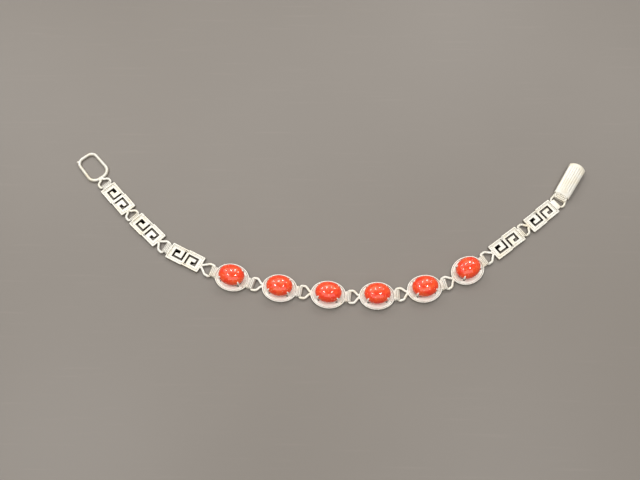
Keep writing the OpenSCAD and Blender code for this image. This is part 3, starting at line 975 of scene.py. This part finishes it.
easing = [0, 0.02, 0.06, 0.12, clasp["edge"]]  # where its eased edges have points


def claspPlace():
    joint = frame["joints"][0]
    across = np.array(joint["axis"][:2])
    turn = math.atan2(-across[0], across[1])
    middle = np.array(joint["pos_m"][:2]) / mm
    return {"at": middle - turned(np.array((pinX, 0.0)), turn), "turn": turn}


# the lever's bowed end, back from its middle
def bowBack(y):
    return clasp["bow"] - math.sqrt(clasp["bow"] ** 2 - y * y)


# how far a rounded edge falls at a distance from it
def eased(distance, edge):
    if distance >= edge:
        return 0.0
    return edge - math.sqrt(edge ** 2 - (edge - max(0.0, distance)) ** 2)


# from 0 to 1, with a soft start and end
def smooth(value):
    value = min(1.0, max(0.0, value))
    return value * value * (3 - 2 * value)


def crownHeight(x, y):
    middle = clasp["leverStart"] + clasp["leverLength"] / 2
    across = clasp["longRadius"] - clasp["crossRadius"] + math.sqrt(clasp["crossRadius"] ** 2 - y * y)
    drop = clasp["frontDrop"] * (1 - smooth((x - clasp["leverStart"]) / clasp["frontSlope"]))
    return clasp["crown"] - drop - clasp["longRadius"] + math.sqrt(across ** 2 - (x - middle) ** 2)


# how deep the flutes are cut at a place on the crown, from 0 to 1
def fluteCut(x, y):
    start, end = clasp["leverStart"] + clasp["fluteEnd"], leverEnd - clasp["fluteEnd"]
    along = smooth((x - start) / clasp["fluteFade"]) * smooth((end - x) / clasp["fluteFade"])
    cut = 0.0
    for middle in clasp["flutes"]:
        off = abs(y - middle) / (clasp["fluteWidth"] / 2)
        if off < 1:
            cut = max(cut, 1 - off * off)
    return cut * along


# the places along the lever that get a row of points
def leverStations():
    start = clasp["leverStart"]
    wall = start + clasp["sheet"]
    stations = {start + e for e in easing} | {leverEnd - e for e in easing}
    stations |= {wall, wall + 0.01, notchStart - 0.01, notchStart, notchEnd, notchEnd + 0.01}
    stations |= set(np.linspace(start + 0.6, leverEnd - 0.5, 56))
    return sorted(stations)


# the places across the lever
def leverWidths():
    half = clasp["width"] / 2
    inside = np.round(np.linspace(-half + 0.3, half - 0.3, 105), 4)
    return sorted({-half + e for e in easing} | {half - e for e in easing} | set(inside))


# one row across the lever: its outer points, its inner points and how dark the outer ones are
def leverRow(x, widths):
    half, sheet, edge = clasp["width"] / 2, clasp["sheet"], clasp["edge"]
    start, near = clasp["leverStart"], 0.001
    inWall = x <= start + sheet + near
    inNotch = notchStart - near <= x <= notchEnd + near
    low = clasp["notch"][2] if inNotch else clasp["skirt"]
    pull = smooth((x - (leverEnd - clasp["bowLength"])) / clasp["bowLength"])
    endDrop = max(eased(x - start, edge), eased(leverEnd - x, edge))
    outer, inner, dark = [], [], []

    def put(y, z, yIn, zIn, tone=0.0):
        outer.append((x - bowBack(y) * pull, y, z))
        inner.append((x - bowBack(yIn) * pull, yIn, zIn))
        dark.append(tone)

    def putSkirt(side, shares):
        sideTop = crownHeight(x, half) - edge - endDrop
        innerTop = clasp["front"] if inWall else crownHeight(x, half - sheet) - sheet
        rise = max(0.01, innerTop - low)
        for share in shares:
            put(side * half, low + (sideTop - low) * share, side * (half - sheet), low + rise * share)

    shares = (0, 0.05, 0.5, 0.97)
    putSkirt(-1, shares)
    for y in widths:
        cut = fluteCut(x, y)
        z = crownHeight(x, y) - max(eased(half - abs(y), edge), endDrop) - clasp["fluteDepth"] * cut
        yIn = y * (half - sheet) / half
        zIn = clasp["front"] if inWall else crownHeight(x, yIn) - sheet
        put(y, z, yIn, zIn, clasp["fluteDark"] * cut)
    putSkirt(1, shares[::-1])
    return outer, inner, dark


def addLever(shape):
    widths = leverWidths()
    outer, inner, dark = (np.array(part) for part in zip(*[leverRow(x, widths) for x in leverStations()]))
    shell = np.concatenate([outer, inner[:, ::-1]], axis=1)
    shell[..., 1] *= 1 - clasp["taper"] * (leverEnd - shell[..., 0]) / clasp["leverLength"]
    tone = np.concatenate([dark, np.full_like(dark, clasp["insideDark"])], axis=1)
    addSkin(shape, shell, capped=False, dark=tone)
    # the sheet's edges at both ends
    across = shell.shape[1]
    faces = [(k, k + 1, across - 2 - k, across - 1 - k) for k in range(outer.shape[1] - 1)]
    for end in (shell[0], shell[-1]):
        addPoints(shape, end, faces)


def makeLever(place):
    shape = newShape()
    addLever(shape)
    height, knuckle, half = clasp["pinHeight"], clasp["knuckle"], clasp["knuckleHalf"]
    addCrossBar(shape, pinX, height, knuckle, -half, half)
    addBox(shape, (pinX - knuckle, -half, height), (pinX + knuckle - 0.04, half, clasp["knuckleTop"]))
    makePiece("clasp_lever_cover", shape, place, silver, "clasp_lever", "lever")


def addBail(shape):
    y, bend = (clasp["bailWidth"] - clasp["bailWire"]) / 2, clasp["bailBend"]
    far, neckY = clasp["leverStart"] + 0.4, clasp["railOut"] - 0.35
    path = roundedPath([(0, y, bend), (0, -y, bend), (far, -neckY, 0.45), (far, neckY, 0.45)], 8)
    # thinner inside the tab
    thin = clasp["bailSlim"]
    slim = np.clip(thin + (1 - thin) * path[:, 0] / 0.6, thin, 1)
    grid = sweep(path, [flatWire(clasp["bailWire"] * share, wires["thick"], 16) for share in slim])
    grid[..., 2] += wires["height"]
    addSkin(shape, grid, loopRows=True)


# rows of scallops on a ramp, and the ridge that the lever snaps behind
def addNeck(shape):
    neck, (low, high), railOut, start = (clasp[key] for key in ("neck", "lace", "railOut", "leverStart"))
    along, across, radius = clasp["scallop"]
    rowPitch, pitch = clasp["scallopPitch"]
    arc = np.linspace(-0.5, 0.5, 11) * math.pi
    for row in range(3):
        x = neck + 0.45 + rowPitch * row
        for y in np.arange(-1.35 + pitch / 2 * (row % 2), 1.4, pitch):
            path = np.array([(x - along * math.cos(a), y + across * math.sin(a)) for a in arc])
            grid = sweep(path, circle(radius, 10), closed=False)
            grid[..., 2] += low + (high - low) * row / 2
            addSkin(shape, grid)
    ramp = [(neck + 0.05, 0.4), (start - 0.05, 0.4), (start - 0.05, high)]
    ramp += [(neck + 0.7, low + 0.2), (neck + 0.2, low), (neck + 0.05, low - 0.25)]
    sides = np.linspace(-railOut + 0.1, railOut - 0.1, 9)
    addSkin(shape, np.array([[(x, y, z) for x, z in ramp] for y in sides]))
    back, ridge = clasp["ridge"]
    addCrossBar(shape, start - back, clasp["floor"] + 0.02, ridge, -railOut + 0.3, railOut - 0.3, 0.08)


def makeClaspBase(place):
    shape = newShape()
    addBail(shape)
    railOut, pinHeight, knuckle = clasp["railOut"], clasp["pinHeight"], clasp["knuckle"]
    thickness, height = clasp["rail"]
    floorEnd = pinX - knuckle - 0.2
    railEnd = floorEnd - clasp["hookGap"]
    addBox(shape, (clasp["neck"], -railOut, 0), (floorEnd, railOut, clasp["floor"]), 0.12, 0.06)
    addNeck(shape)
    for side in (-1, 1):
        rail = sorted((side * (railOut - thickness), side * railOut))
        addBox(shape, (clasp["railStart"], rail[0], 0.1), (railEnd, rail[1], height))
        ear = sorted((side * (railOut - clasp["ear"]), side * railOut))
        addBox(shape, (floorEnd - 0.3, ear[0], 0.05), (pinX, ear[1], pinHeight))
        addCrossBar(shape, pinX, pinHeight, knuckle, *ear)
    makePiece("clasp_base_box", shape, place, silver, "clasp_base", "bracelet")


place = claspPlace()
makeLever(place)
makeClaspBase(place)
pin = frame["nodes"]["clasp_pin"]
pin.data.materials.clear()
pin.data.materials.append(silver)
print("clasp at", np.round(place["at"], 3), "turned", round(math.degrees(place["turn"]), 2))


studio = {
    "floor": (0.215, 0.190, 0.164),
    "floorCloud": 1.05,  # how much lighter its soft patches and its fine streaks are
    "floorStreak": 1.3,
    "floorSurface": {"Roughness": 0.45, "Specular IOR Level": 0.45},
    "floorSize": 3.0,
    "world": (0.24, 0.235, 0.225),
    "panels": {
        "panel": {"at": (-0.10, 0.36, 0.46), "size": (1.0, 0.5), "radiance": 0.85},
        "sidePanel": {"at": (-0.30, -0.12, 0.50), "size": (0.3, 0.35), "radiance": 0.9},
        "frontPanel": {"at": (0.06, -0.36, 0.50), "size": (0.8, 0.3), "radiance": 1.3},
    },
    "lampDistance": 0.55,
    "lampSize": 0.075,
    "cameraAt": (-0.00306, -0.08874, 0.203),
    "cameraTilt": 22.7,  # from straight down
    "cameraRoll": 0.45,
    "lens": 39.55,  # for a 36 mm wide picture
}
# direction from the corals, and how bright
lamps = [
    ((-0.45, -0.04, 0.90), 39.0),
    ((0.32, -0.08, 0.94), 40.0),
    ((-0.54, 0.50, 0.67), 20.0),
    ((-0.11, 0.56, 0.82), 20.0),
    ((0.24, 0.67, 0.69), 20.0),
    ((0.57, 0.49, 0.66), 20.0),
]


def floorMaterial():
    material, tree, shader, place = newMaterial("paleFloor")
    tone = studio["floor"]
    patches, streaks = (tuple(c * studio[key] for c in tone) for key in ("floorCloud", "floorStreak"))
    cloud = addRange(tree, addNoise(tree, place, 0.012, 3.0), 0.3, 0.7)
    body = addMix(tree, cloud, tone, patches)
    line = addRange(tree, addNoise(tree, place, 1.0, 4.0, (0.035, 0.9, 1)), 0.6, 0.8, 0.0, 0.3)
    tree.links.new(addMix(tree, line, body, streaks), shader.inputs["Base Color"])
    setSurface(shader, studio["floorSurface"])
    return material


def addFloor():
    count, half = 7, studio["floorSize"] / 2
    steps = np.linspace(-half, half, count)
    points = np.array([(x, y, 0) for y in steps for x in steps])
    corners = [row * count + col for row in range(count - 1) for col in range(count - 1)]
    mesh = newMesh("floor", points, [(k, k + 1, k + count + 1, k + count) for k in corners])
    mesh.materials.append(floorMaterial())
    addObject("floor", mesh)


# a light that faces the bracelet's middle
def addLight(name, kind, size, at, radiance):
    light = bpy.data.lights.new(name, "AREA")
    light.shape = kind
    light.size = size[0]
    area = math.pi * size[0] ** 2 / 4
    if kind == "RECTANGLE":
        light.size_y = size[1]
        area = size[0] * size[1]
    light.energy = radiance * area * math.pi
    lamp = addObject(name, light)
    lamp.location = at
    way = Vector((0, 0, 0)) - lamp.location
    lamp.rotation_euler = way.to_track_quat("-Z", "Y").to_euler()


def addLights():
    world = bpy.data.worlds.new("studio")
    world.use_nodes = True
    world.node_tree.nodes["Background"].inputs["Color"].default_value = (*studio["world"], 1)
    bpy.context.scene.world = world
    for name, panel in studio["panels"].items():
        addLight(name, "RECTANGLE", panel["size"], panel["at"], panel["radiance"])
    for index, (way, radiance) in enumerate(lamps):
        at = unit(np.array(way)) * studio["lampDistance"]
        addLight(f"lamp_{index + 1}", "DISK", (studio["lampSize"],), at, radiance)


def addCamera():
    scene = bpy.context.scene
    camera = addObject("camera", bpy.data.cameras.new("camera"))
    camera.location = studio["cameraAt"]
    tilt, roll = math.radians(studio["cameraTilt"]), math.radians(studio["cameraRoll"])
    camera.rotation_euler = (Matrix.Rotation(tilt, 3, "X") @ Matrix.Rotation(roll, 3, "Z")).to_euler()
    camera.data.lens = studio["lens"]
    camera.data.sensor_width = 36
    camera.data.clip_start = 0.01
    scene.camera = camera
    scene.view_settings.view_transform = "Standard"


addFloor()
addLights()
addCamera()
print("studio built")
